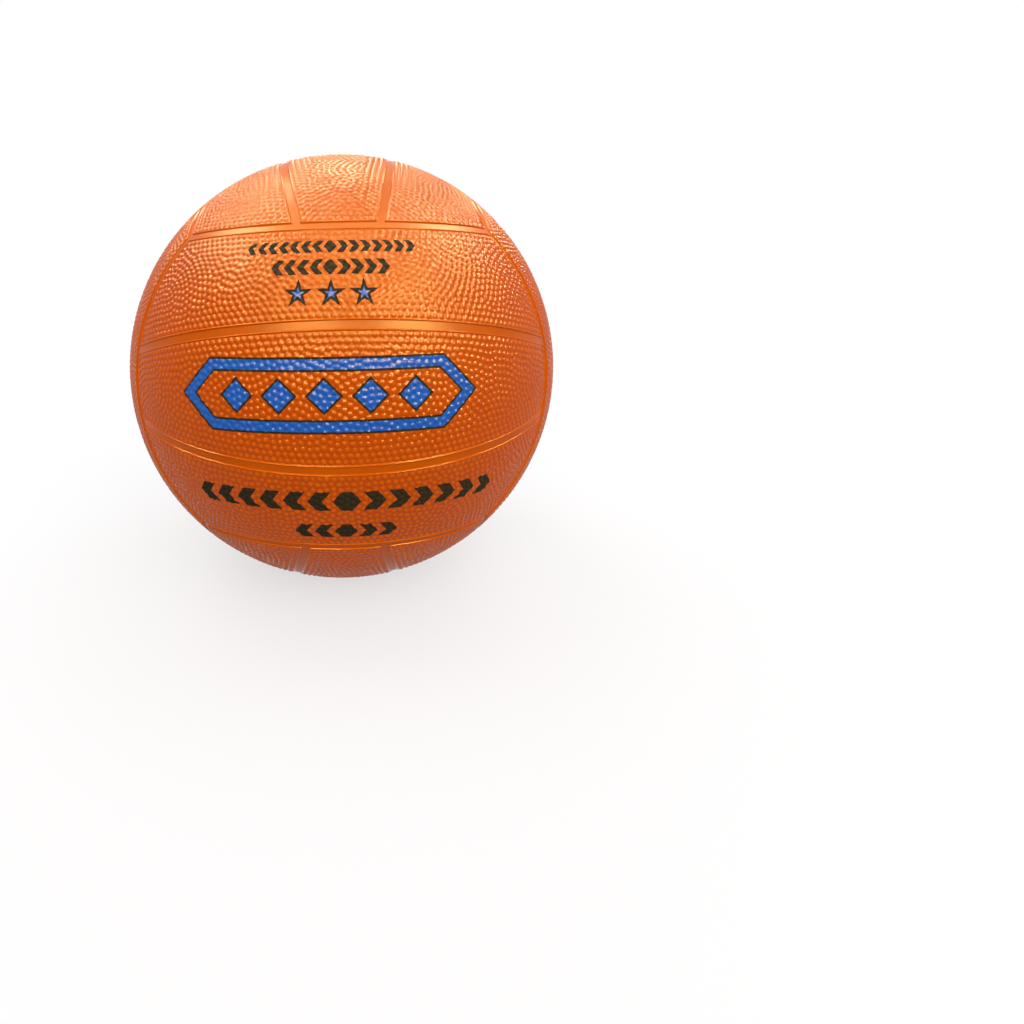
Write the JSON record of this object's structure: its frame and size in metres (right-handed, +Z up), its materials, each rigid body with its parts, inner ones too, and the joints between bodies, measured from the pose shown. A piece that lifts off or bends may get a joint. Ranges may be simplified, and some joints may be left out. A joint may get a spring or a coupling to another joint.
{
  "type": "netball",
  "caption": "Air-filled rubber netball with pebbled cover panels between smooth seam channels, over a nylon-wound carcass and a bladder with a needle valve.",
  "frame": {"origin": "centre of the ball", "axes": "+Z up, -Y through the middle of the front face, whose strips run level, and +X out through the valve"},
  "size_m": [0.2063, 0.206, 0.206],
  "materials": {
    "cover": "pebbled, semi-gloss",
    "carcass": "smooth, semi-gloss",
    "winding": "wound thread",
    "bladder": "matte",
    "valve_boot": "satin",
    "valve_core": "satin"
  },
  "bodies": {
    "root": {"front_upper_panel": "cover", "front_middle_panel": "cover", "front_lower_panel": "cover", "back_upper_panel": "cover", "back_middle_panel": "cover", "back_lower_panel": "cover", "top_left_panel": "cover", "top_middle_panel": "cover", "top_right_panel": "cover", "bottom_left_panel": "cover", "bottom_middle_panel": "cover", "bottom_right_panel": "cover", "right_front_panel": "cover", "right_middle_panel": "cover", "right_rear_panel": "cover", "left_front_panel": "cover", "left_middle_panel": "cover", "left_rear_panel": "cover", "carcass": "carcass", "nylon_winding": "winding", "bladder": "bladder", "valve_boot": "valve_boot", "valve_core": "valve_core"}
  },
  "joints": []
}
